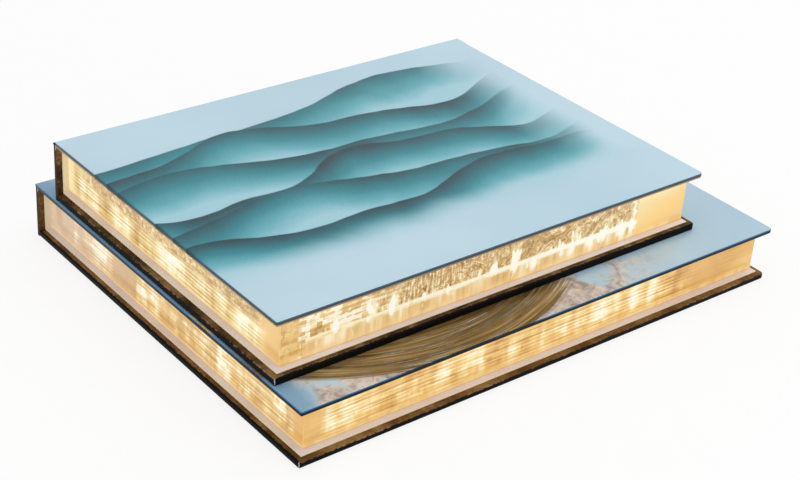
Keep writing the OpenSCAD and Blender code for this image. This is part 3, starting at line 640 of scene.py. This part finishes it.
def page_finish(volume):
    """The glowing acrylic of a page block, seen from all sides, with its opal top."""
    paint = new_paint(volume + " page acrylic")
    face = Face(paint, volume)
    run, height, fore, tail = face.run, face.height, face.fore, face.tail
    cloud = face.noise(0.03, 0.045, 7, 2, 0.5, 0.6)
    if volume == "lower":
        colour, tone = lit_pages(paint, face, LOWER_LIGHT, 0.45, 0.68, 1 + tail * 0.6)
        # the tail is paler and pinker towards the spine, where there are no chips
        colour = paint.mix(tail * (0.6 - tone * 0.6).max(0), colour, PALE_TAIL)
        dusk = (1 - run.rise(0, 130)) * tail
        dusk = (dusk * (1.45 - tone)).max((1 - run.rise(6, 40)) * tail * 0.85).min(1)
        colour = paint.mix(dusk, colour, DUSK)
        clear_end = (1 - (face.left + face.noise(0.02, 0.5, 11) * 24).rise(58, 84)) * fore
        clear_start = (1 - run.rise(4, 20)) * fore + (1 - face.left.rise(7, 12)) * tail
        clear = LOWER_CLEAR
        shade = cloud * 0.7 + height * 0.1 + face.noise(0.02, 0.4, 8) * 0.25 - 0.06
    else:
        colour, tone = lit_pages(paint, face, UPPER_LIGHT, 0.30, 0.55, 0.8)
        colour = crinkled_film(paint, face, colour)
        edge = face.left + face.noise(0.06, 0.30, 12, 3) * 9
        clear_end = (1 - edge.rise(HEAD_BAR_W + 13, HEAD_BAR_W + 16)) * fore
        clear_start = (1 - face.left.rise(10, 24)) * tail
        clear_start = clear_start.max((1 - run.rise(3, 13)) * tail * 0.8)
        clear = UPPER_CLEAR
        shade = height * 0.5 + face.left * 0.006 + cloud * 0.35 - 0.02 - tail * (height * 0.5 + 0.02)
    colour = paint.mix(clear_end.max(clear_start), colour, paint.ramp(shade, *clear))
    # the foot is even, with soft upright rays
    foot = paint.mix(tail * 0.6, paint.ramp(face.noise(0.13, 0.01, 9), *FOOT), PINK_FOOT)
    colour = paint.mix((1 - height.rise(0.02, 0.1 + fore * 0.1)) * 0.7, colour, foot)
    colour = paint.mix((1 - height.rise(0.0, 0.035)) * 0.6, colour, FOOT_LINE)
    colour = paint.mix(face.corner * 0.5, colour, CORNER_LIGHT)
    opal = paint.ramp(paint.noise(face.position, 25, 3), *OPAL)
    colour = paint.mix(face.flat, colour, opal)
    body = paint.mix(1.0, colour, UNLIT, "MULTIPLY")
    wavy = face.noise(0.02, 0.02, 10)
    return paint.surface(Base_Color=body, Roughness=0.14 + tone * 0.05, Emission_Color=colour,
                         Emission_Strength=GLOW_STRENGTH, Normal=paint.bump(wavy, 0.2),
                         Specular_IOR_Level=0.4)


def crinkled_film(paint, face, colour):
    """The film behind the upper volume's bars: foil-like facets above the strip's band of light on
    the fore-edge, and finer sparkles along the top of the tail face."""
    run, height, fore, tail = face.run, face.height, face.fore, face.tail
    crumple = (face.noise(0.13, 0.16, 21, 5, 0.74, 2.0) - 0.5) * 1.25 + 0.5
    warped = paint.join(run * 0.15 + crumple * 2.5, face.z * 0.2 + crumple * 2.5, face.seed)
    facets = paint.cells(warped, 1.0, feature="DISTANCE_TO_EDGE")
    patches = face.noise(0.05, 0.09, 20, 2) * 0.3 - 0.15
    dashes = (face.noise(0.75, 0.1, 31, 1) - 0.5) * 0.9 * (1 - run.rise(90, 190))
    foil = paint.ramp(crumple + patches + dashes, *FOIL)
    foil = paint.mix((1 - facets.rise(0.0, 0.07)) * 0.4, foil, FOLD)
    foil = paint.mix(facets.near(0.13, 0.06) * 0.4, foil, FOLD_LIGHT)
    wander = face.noise(0.024, 0.0, 22, 2) - 0.5
    level = height - BAND_HEIGHT + run * 0.0001 + wander * 0.05
    # the first stretch of film is smooth and shows oblongs of light between dark page lines
    ruled = 1 - face.page_lines(32, PAGE_PITCH * 1.3) * 0.35
    oblongs = face.bricks(8, 23, PAGE_PITCH * 1.7) * 0.42 + face.noise(0.06, 0.07, 24, 2) * 0.9
    oblongs = oblongs + face.bricks(3, 19) * 0.14 + run.near(36, 28) * 0.1 - 0.04
    blocky = paint.ramp(oblongs * ruled, *OBLONGS)
    smooth_part = 1 - (run + face.noise(0.05, 0.3, 18) * 50).rise(70, 118)
    upper_part = level.rise(0.0, 0.06)
    colour = paint.mix(upper_part * fore, colour, paint.mix(smooth_part, foil, blocky))
    # the very start is behind the corner, with no chip near it
    dim = paint.ramp(crumple * 0.6 + face.bricks(9, 33) * 0.25 + height * 0.1, *DIM_START)
    starts = 1 - (run + face.bricks(6, 34) * 6).rise(15, 18)
    below = (1 - level.rise(-0.1, -0.02)) * fore
    rays = face.noise(0.12, 0.012, 25, 2, 0.6) * 0.92 + face.columns(4, 35) * 0.08
    colour = paint.mix(below, colour, paint.ramp(rays, *SOFT_RAYS))
    colour = paint.mix(starts * fore, colour, dim)
    # the band over the chips: a thin line that thickens towards the head, with hot blobs on it
    off = abs(level)
    blobs = (face.noise(0.13, 0.04, 41, 2, 0.5) - 0.5) * 4.2 + (face.noise(0.026, 0.0, 42, 1) - 0.5) * 1.1
    blobs = blobs + (face.noise(0.45, 0.2, 36, 2) - 0.5) * 1.1 + run.rise(130, 220) * 0.3
    glow = (blobs - off * 2.6 + 0.24).rise(0.05, 0.65)
    core = (1 - off.rise(0.008 + run * 0.00013, 0.035 + run * 0.0002)) * (0.62 + run * 0.0014)
    core = core * (1 + (face.noise(0.3, 0.0, 43) - 0.5) * 1.2)
    flame = edge_flame(face, upper_part)
    band = glow.max(core).max(flame) * fore * (1 - starts)
    colour = paint.mix((band * 1.3).min(1), colour, BAND_GLOW)
    colour = paint.mix(band.rise(0.5, 1.0), colour, BAND_CORE)
    sparkle = (face.noise(0.3, 0.45, 28, 3, 0.7, 0.8) - 0.5) * 0.9 + face.bricks(4, 30) * 0.22 + 0.36
    top = (height + face.noise(0.08, 0.0, 29) * 0.16).rise(0.54, 0.66) * tail
    return paint.mix(top * run.rise(8, 30) * 0.9, colour, paint.ramp(sparkle, *GLITTER))


def edge_flame(face, upper_part):
    """The light that climbs the end of the film beside the solid bar at the head."""
    bent = face.left + face.noise(0.06, 0.30, 12, 3) * 9
    return bent.near(HEAD_BAR_W + 17, 3.5) * (0.35 + face.noise(0.1, 0.25, 27, 3) * 1.0) * upper_part


# The upright edges that show on the outside of each bar
POLISHED = {
    "_fore_pages": lambda co, low, high: co.x > high.x - ON_FACE and co.y < low.y + ON_FACE,
    "_tail_pages": lambda co, low, high: False,
    "_head_pages": lambda co, low, high: co.y > high.y - ON_FACE,
}
for volume in VOLUMES:
    pages = page_finish(volume)
    for node_name, outer in POLISHED.items():
        low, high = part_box(volume + node_name)
        shape = block(low, high)
        rim = [edge for edge in shape.edges if abs(edge.verts[0].co.z - edge.verts[1].co.z) > MM
               and outer(edge.verts[0].co, low, high)]
        if rim:
            bmesh.ops.bevel(shape, geom=rim, offset=POLISHED_EDGE * MM, segments=3, affect="EDGES")
        finish_piece(shape, volume + node_name.replace("pages", "bar"), pages, volume + "_case",
                     [volume + node_name])
    for node_name in ("_spine_pages", "_base_plate", "_top_leaf"):
        coat(volume + node_name, pages)


# ---- front boards ---------------------------------------------------------------------------------
# Greyboard under printed paper with a glossy film over it, turned in over the edges. The prints
# are abstract: teal ridges in mist on the upper cover, and dry-brushed arcs on the lower one.
COVER_EDGE_R = 0.7
# The corners of a board at its joint
JOINT_CORNER_R = 0.1
# How far the printed cover starts in from the outer face of the spine
COVER_IN = {"lower": 0.6, "upper": 2.2}
GROUNDS = {"upper": (tint(178, 208, 222), tint(189, 216, 228)),
           "lower": (tint(164, 195, 215), tint(181, 207, 222))}
# The wrapped edge from its upper arris down: a painted highlight along the arris, the edge's own dark
# colour, and at its foot the pages' warm glow painted on the upper cover, plain dark on the lower
EDGES = {"upper": (tint(88, 108, 126), tint(66, 80, 92), tint(186, 160, 120)),
         "lower": (tint(62, 116, 152), tint(10, 30, 48), tint(26, 34, 40))}
UNDERSIDES = {"upper": tint(34, 40, 46), "lower": tint(14, 24, 34)}
INKED_EDGES = {"upper": tint(18, 52, 60), "lower": tint(34, 26, 18)}
SPINE_CLOTH = tint(14, 12, 11)
# Each ridge: where its crest lies, its swing, turns and phase, the depth of its mist, and its shade
RIDGES = ((0.15, 0.050, 0.75, 1.0, 0.21, 0.22), (0.25, 0.060, 1.15, 2.6, 0.19, 0.06),
          (0.36, 0.055, 0.90, 4.4, 0.20, 0.12), (0.47, 0.050, 1.40, 0.2, 0.18, 0.0),
          (0.57, 0.050, 0.95, 3.3, 0.19, 0.04), (0.67, 0.040, 1.20, 5.2, 0.15, -0.05))
TEALS = ((0.0, tint(2, 54, 64)), (0.18, tint(6, 92, 104)), (0.42, tint(30, 130, 142)),
         (0.7, tint(92, 170, 182)), (1.0, tint(158, 204, 216)))
# Each arc: its centre and radius, the brush's half width, its ends as angles, and its shade
ARCS = ((104, 150, 96, 15, -2.6, 0.7, 0.1), (120, 236, 74, 10, -0.3, 2.5, 0.05),
        (118, 112, 150, 20, -0.62, 0.40, -0.06), (122, 104, 121, 9, -0.9, 0.66, 0.14))
UMBERS = ((0.38, tint(40, 32, 20)), (0.5, tint(86, 68, 38)), (0.62, tint(136, 108, 60)),
          (0.74, tint(192, 164, 112)), (0.85, tint(230, 214, 180)))
# The pale mottled wash of the print, which also paints the warm reflection of the pages' glow
MOTTLES_AND_GLOW = ((0.36, tint(150, 132, 116)), (0.48, tint(196, 176, 162)), (0.62, tint(222, 206, 194)))
# The blue of the upper volume's shadow, painted along the lower cover's tail
SHADOW_BLUE = tint(92, 142, 178)


def remember_rest(piece):
    """Stores the place and the normal that each point has at rest, so that a print bends with it."""
    mesh = piece.data
    place = mesh.attributes.new("rest_place", "FLOAT_VECTOR", "POINT")
    place.data.foreach_set("vector", [c for vert in mesh.vertices for c in vert.co])
    facing = mesh.attributes.new("rest_normal", "FLOAT_VECTOR", "CORNER")
    facing.data.foreach_set("vector", [c for normal in mesh.corner_normals for c in normal.vector])


def remembered(paint, name):
    """What remember_rest stored under this name."""
    return paint.add("Attribute", {"attribute_name": name}, output=1)


class Cover:
    """Where a point lies on a cover: x and y in millimetres from its spine and tail, and across
    and upward from 0 to 1."""

    def __init__(self, paint, low, high):
        self.position = remembered(paint, "rest_place")
        x, y, self.z = (paint.part(self.position, axis) * 1000 for axis in range(3))
        self.x, self.y = x - low.x / MM, y - low.y / MM
        self.across = self.x / ((high.x - low.x) / MM)
        self.upward = self.y / ((high.y - low.y) / MM)
        self.depth = high.z / MM - self.z


def misty_ridges(paint, cover, ground):
    """Ridges one before the other, each darkest along its crest and lost in mist below it."""
    grain = paint.noise(cover.position, 1500, 2) - 0.5
    soft = paint.noise(cover.position, 13, 3, 0.5, 0.3) - 0.5
    turn = cover.upward * (2 * math.pi)
    colour, ink = ground, 0
    for crest, swing, turns, phase, mist, dark in RIDGES:
        line = (turn * turns + phase).sine() * swing
        line = line + (turn * (turns * 2.7) + phase * 2).sine() * (swing * 0.3)
        line = line + soft * 0.05 + crest
        below = cover.across - line
        inside = below.rise(0, 0.006)
        tone = below / mist + soft * 0.9 + grain * 0.2 + dark
        ends = 1 - (cover.upward + soft * 0.15).rise(0.80, 0.98)
        shown = inside * ends
        colour = paint.mix(shown, colour, paint.ramp(tone, *TEALS))
        ink = ink * (1 - shown) + shown * (1 - tone.rise(0, 0.6))
    # the nearest mist clears into the plain ground
    clear = (cover.across + soft * 0.1).rise(0.74, 0.86)
    return paint.mix(clear, colour, ground), ink * (1 - clear)


def brushed_arcs(paint, cover, ground):
    """Umber and gold arcs laid on with a dry brush over a pale wash, which also paints the warm reflection
    of the glowing pages, and a painted blue shadow of the upper volume along the tail.
    """
    cloud = paint.noise(cover.position, 38, 4, 0.6, 0.5)
    # a pale wash in the print that also stands for the painted reflection of the glowing pages
    wash = (cloud * 0.9 + paint.noise(cover.position, 11, 2) * 0.3).rise(0.5, 0.66)
    wash = wash * (1 - cover.upward.rise(0.62, 0.8)) * cover.across.rise(0.1, 0.35)
    # painted shadow of the upper volume: a blue band along the tail, kept clear of the wash
    rim = 1 - (cover.upward + (cloud - 0.5) * 0.04).rise(0.015, 0.05)
    wash = wash * (1 - rim)
    ground = paint.mix(rim * 0.7, ground, SHADOW_BLUE)
    mottle_and_glow = paint.ramp(paint.noise(cover.position, 130, 4, 0.65, 1.0), *MOTTLES_AND_GLOW)
    colour, ink = paint.mix(wash * 0.9, ground, mottle_and_glow), 0
    for centre_x, centre_y, radius, width, start, end, shade in ARCS:
        run_x, run_y = cover.x - centre_x, cover.y - centre_y
        distance = (run_x * run_x + run_y * run_y) ** 0.5
        angle = paint.add("Math", {"operation": "ARCTAN2"}, {0: run_y, 1: run_x})
        bristles = paint.noise(paint.join(distance * 0.75, angle * 2.6, radius), 1.0, 4, 0.7)
        streak = paint.noise(paint.join(distance * 0.22, angle * 1.2, radius + 5), 1.0, 2)
        edge = 1 - (abs(distance - radius) + bristles * 9).rise(width, width + 4)
        ends = (angle + bristles * 0.5).rise(start, start + 0.16)
        ends = ends * (1 - (angle + bristles * 0.5 - 0.5).rise(end - 0.16, end))
        dry = bristles.rise(0.30, 0.44)
        tone = bristles * 0.75 + streak * 0.5 + shade
        shown = edge * ends * dry
        colour = paint.mix(shown, colour, paint.ramp(tone, *UMBERS))
        ink = shown.max(ink)
    return colour, ink


PRINTS = {"upper": misty_ridges, "lower": brushed_arcs}


def printed(volume):
    """Laminated print for a cover, joint included: ground, design, and dark wrapped edges with a painted
    highlight along their upper arris and, on the upper cover, the pages' glow painted at their foot.
    Outside the cover's own edge the spine's cloth shows."""
    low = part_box(volume + "_joint_cloth")[0].copy()
    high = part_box(volume + "_front_board")[1]
    low.x += COVER_IN[volume] * MM
    paint = new_paint(volume + " cover print")
    cover = Cover(paint, low, high)
    cloud = paint.noise(cover.position, 9, 2)
    ground = paint.ramp(cloud, (0.35, GROUNDS[volume][0]), (0.65, GROUNDS[volume][1]))
    colour, ink = PRINTS[volume](paint, cover, ground)
    normal = remembered(paint, "rest_normal")
    wrapped = 1 - paint.part(normal, 2).rise(0.55, 0.8)
    uneven = paint.noise(cover.position, 120, 3) * 0.5
    depth = cover.depth + uneven
    # painted highlight along the upper arris, then the edge's own dark, then painted glow (upper) at its
    # foot
    edge = paint.mix(depth.rise(0.75, 1.5), EDGES[volume][0], EDGES[volume][1])
    edge = paint.mix(depth.rise(1.9, 2.7), edge, EDGES[volume][2])
    edge = paint.mix(ink * 0.85, edge, INKED_EDGES[volume])
    under = (0 - paint.part(normal, 2)).rise(0.5, 0.8)
    edge = paint.mix(under, edge, UNDERSIDES[volume])
    colour = paint.mix(wrapped, colour, edge)
    bare = 1 - cover.x.above(0)
    colour = paint.mix(bare, colour, SPINE_CLOTH)
    scuffs = paint.noise(cover.position, 60, 5, 0.7)
    ripple = paint.noise(cover.position, 34, 3, 0.5, 0.4)
    return paint.surface(Base_Color=colour, Roughness=0.14 + scuffs * 0.14 + bare.max(under) * 0.4,
                         Normal=paint.bump(ripple, 0.05), Coat_Weight=(1 - bare.max(wrapped)) * 0.35,
                         Coat_Roughness=0.05, Specular_IOR_Level=0.1)


prints = {volume: printed(volume) for volume in VOLUMES}
for volume in VOLUMES:
    name = volume + "_front_board"
    low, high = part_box(name)
    joint_low, joint_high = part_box(volume + "_joint_cloth")
    profile = round_edge(low.z, high.z, COVER_EDGE_R * MM, COVER_EDGE_R * MM)
    corners = [r * MM for r in (JOINT_CORNER_R, TAIL_CORNER_R, HEAD_CORNER_R, JOINT_CORNER_R)]
    shape = plate(low, high, corners, profile)
    rebate = block((low.x - MM, low.y - MM, joint_low.z), (joint_high.x, high.y + MM, high.z + MM))
    board = finish_piece(carve(shape, rebate), volume + "_printed_front_board", prints[volume],
                         volume + "_cover", [name])
    remember_rest(board)


# ---- joints ---------------------------------------------------------------------------------------
# The spine's cloth runs over the top of the spine board, under the printed covering, and on to the
# front board.
JOINT_COLUMNS = 24


def bent_strip(low, high, nub):
    """A thin strip with many columns from spine to board, so that it can bend. Its outer part
    follows the nub over the spine's top."""
    thick = high.z - low.z
    flat_from = low.x + nub[-1][0] * MM
    profile = [(low.x + x * MM, high.z - depth * MM) for x, depth in nub] + [
        (flat_from + (high.x - flat_from) * column / JOINT_COLUMNS, high.z)
        for column in range(1, JOINT_COLUMNS + 1)]
    shape = bmesh.new()
    rows = []
    for x, top in profile:
        foot = max(min(top - thick, low.z), top - 2 * thick)
        rows.append([shape.verts.new(point) for point in ((x, low.y, foot), (x, high.y, foot),
                                                          (x, high.y, top), (x, low.y, top))])
    for first, second in zip(rows, rows[1:]):
        for i in range(4):
            j = (i + 1) % 4
            shape.faces.new((first[i], first[j], second[j], second[i]))
    shape.faces.new(rows[0][::-1])
    shape.faces.new(rows[-1])
    return shape


for volume in VOLUMES:
    low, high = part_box(volume + "_joint_cloth")
    strip = finish_piece(bent_strip(low, high, NUB[volume]), volume + "_cover_joint", prints[volume],
                         None, [volume + "_joint_cloth"])
    remember_rest(strip)
    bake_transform(strip)


# ---- switch and charging socket --------------------------------------------------------------------
# A moulded rocker switch and a plated charging socket are let into the cloth of each spine. Their
# edges are rounded as moulding and pressing leave them, and the rocker has a printed bar and ring.
MARK_COLOUR = tint(226, 226, 222)
# The marks' distance from the rocker's middle, the bar's half sides, the ring's radius and half
# width, and the width of a mark's soft edge
MARK_OUT = 4.6
MARK_BAR = (0.3, 1.5)
MARK_RING = (1.35, 0.24)
MARK_BLUR = 0.1
# Points closer than this in millimetres are one, and an edge that turns by more degrees is sharp
WELD, SHARP = 0.002, 40


def moulded(name, colour, roughness, grain_scale=1500, depth=0.02, coat_weight=0.0, marked=None):
    """Moulded plastic or a coated part. marked is the node that carries a switch's two marks."""
    paint = new_paint(name)
    (_, y, z), position = paint.place()
    grain = paint.noise(position, grain_scale, 3, 0.6)
    cloud = paint.noise(position, 60, 3)
    lighter = tuple(min(1, c * 1.25 + 0.004) for c in colour[:3]) + (1,)
    finish = paint.mix(cloud, colour, lighter)
    if marked:
        low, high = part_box(marked)
        out, up = y - (low.y + high.y) / 2 / MM, z - (low.z + high.z) / 2 / MM
        bar = 1 - abs(out - MARK_OUT).rise(MARK_BAR[0], MARK_BAR[0] + MARK_BLUR)
        bar = bar * (1 - abs(up).rise(MARK_BAR[1], MARK_BAR[1] + MARK_BLUR))
        ring = ((out + MARK_OUT) * (out + MARK_OUT) + up * up) ** 0.5
        ring = 1 - abs(ring - MARK_RING[0]).rise(MARK_RING[1], MARK_RING[1] + MARK_BLUR)
        finish = paint.mix(bar.max(ring), finish, MARK_COLOUR)
    return paint.surface(Base_Color=finish, Roughness=roughness + grain * 0.12,
                         Normal=paint.bump(grain, depth), Coat_Weight=coat_weight, Coat_Roughness=0.15)


def metal(name, colour, roughness):
    """Metal with fine brush marks that run from spine to fore-edge."""
    paint = new_paint(name)
    (x, y, z), _ = paint.place()
    brushed = paint.noise(paint.join(x * 0.04, y * 0.9, z * 0.9), 1.0, 3)
    darker = tuple(c * 0.8 for c in colour[:3]) + (1,)
    return paint.surface(Base_Color=paint.mix(brushed, darker, colour), Metallic=1.0,
                         Roughness=roughness + brushed * 0.15, Normal=paint.bump(brushed, 0.01))


def softened(node_name, radius, material, body):
    """A part as the CAD has it, with every sharp edge rounded."""
    shape = bmesh.new()
    shape.from_mesh(nodes[node_name].data)
    bmesh.ops.remove_doubles(shape, verts=shape.verts, dist=WELD * MM)
    bmesh.ops.dissolve_limit(shape, angle_limit=math.radians(1), verts=shape.verts, edges=shape.edges)
    sharp = [edge for edge in shape.edges
             if len(edge.link_faces) == 2 and edge.calc_face_angle(0) > math.radians(SHARP)]
    bmesh.ops.bevel(shape, geom=sharp, offset=radius * MM, segments=3, affect="EDGES", clamp_overlap=True)
    bmesh.ops.remove_doubles(shape, verts=shape.verts, dist=WELD * MM)
    bmesh.ops.dissolve_degenerate(shape, dist=WELD * MM, edges=shape.edges)
    return finish_piece(shape, node_name + "_rounded", material, body, [node_name], SHARP)


black_plastic = moulded("black plastic", tint(30, 30, 31), 0.45)
rocker_plastic = {volume: moulded(volume + " rocker plastic", tint(40, 40, 42), 0.3, 2400, 0.015, 0.3,
                                  volume + "_switch_rocker") for volume in VOLUMES}
steel = metal("zinc-plated steel", tint(186, 188, 190), 0.22)

for volume in VOLUMES:
    softened(volume + "_switch_body", 0.35, black_plastic, volume + "_case")
    softened(volume + "_switch_rocker", 0.3, rocker_plastic[volume], volume + "_rocker")
    softened(volume + "_charge_socket", 0.2, steel, volume + "_case")


# ---- inside the page blocks ---------------------------------------------------------------------------
# Aluminium angle rails hold the LED strips behind the crinkled film. The battery lies in a black
# tray, and the green control board is screwed down on nylon standoffs. Red wires join them.
white_plastic = moulded("white nylon", tint(228, 227, 222), 0.5)
aluminium = metal("extruded aluminium", tint(205, 206, 207), 0.3)
film = moulded("crinkled film", tint(255, 244, 214), 0.1, 300, 0.3, 0.6)
strip_white = moulded("strip", tint(236, 232, 218), 0.5)
chips = moulded("lit phosphor", tint(255, 226, 130), 0.3)
sleeve = moulded("battery sleeve", tint(52, 104, 158), 0.25, 300, 0.05, 0.4)
green = moulded("circuit board", tint(24, 96, 52), 0.3, 700, 0.03, 0.5)
red_wire = moulded("wire insulation", tint(176, 38, 32), 0.35)
INNER = {"_crinkle_film": film, "_posts": aluminium, "_top_screws": steel, "_base_screws": steel,
         "_led_rails": aluminium, "_led_strips": strip_white, "_led_chips": chips,
         "_battery_tray": black_plastic, "_battery": sleeve, "_control_board": green,
         "_standoffs": white_plastic, "_board_parts": black_plastic, "_wires": red_wire}
for volume in VOLUMES:
    for node_name, material in INNER.items():
        coat(volume + node_name, material)
